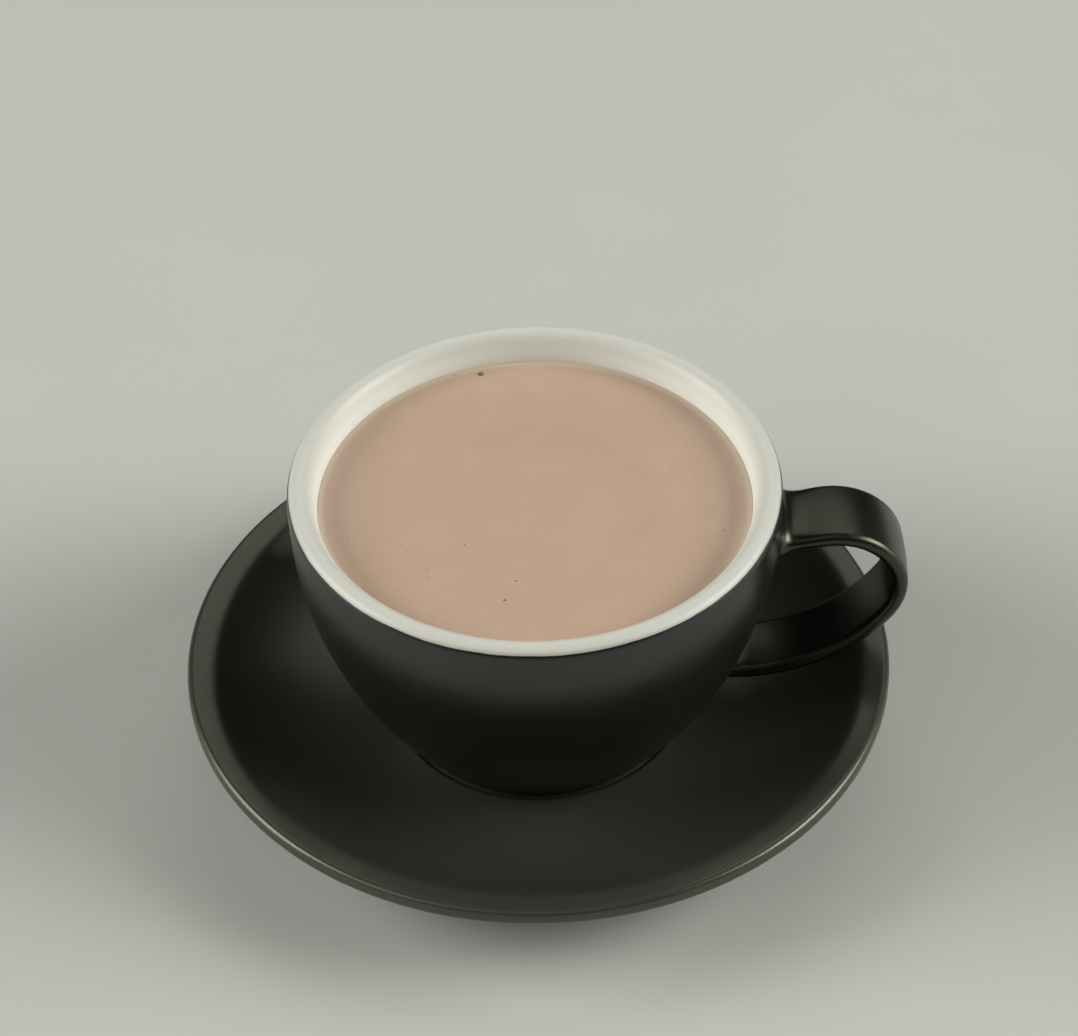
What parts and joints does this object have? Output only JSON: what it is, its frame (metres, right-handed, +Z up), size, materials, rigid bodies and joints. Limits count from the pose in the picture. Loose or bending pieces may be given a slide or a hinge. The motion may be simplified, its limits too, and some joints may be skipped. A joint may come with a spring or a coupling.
{
  "type": "cup of hot chocolate",
  "caption": "Low round cup of milky hot chocolate with a wide strap handle, black outside and white inside, standing on its black saucer.",
  "frame": {"origin": "on the axis of the bowl, at the table plane under the saucer's foot ring", "axes": "+Z up along the axis of the bowl, +X towards the handle, +Y to the left of someone who looks along +X"},
  "size_m": [0.144, 0.1416, 0.0668],
  "materials": {
    "black_glaze": "satin black glaze on white porcelain",
    "white_glaze": "glossy ivory white glaze, inside the bowl and over its lip",
    "drink": "smooth opaque milky liquid"
  },
  "bodies": {
    "root": {"cup": "black_glaze", "hot_chocolate": "drink", "saucer": "black_glaze"}
  },
  "joints": []
}
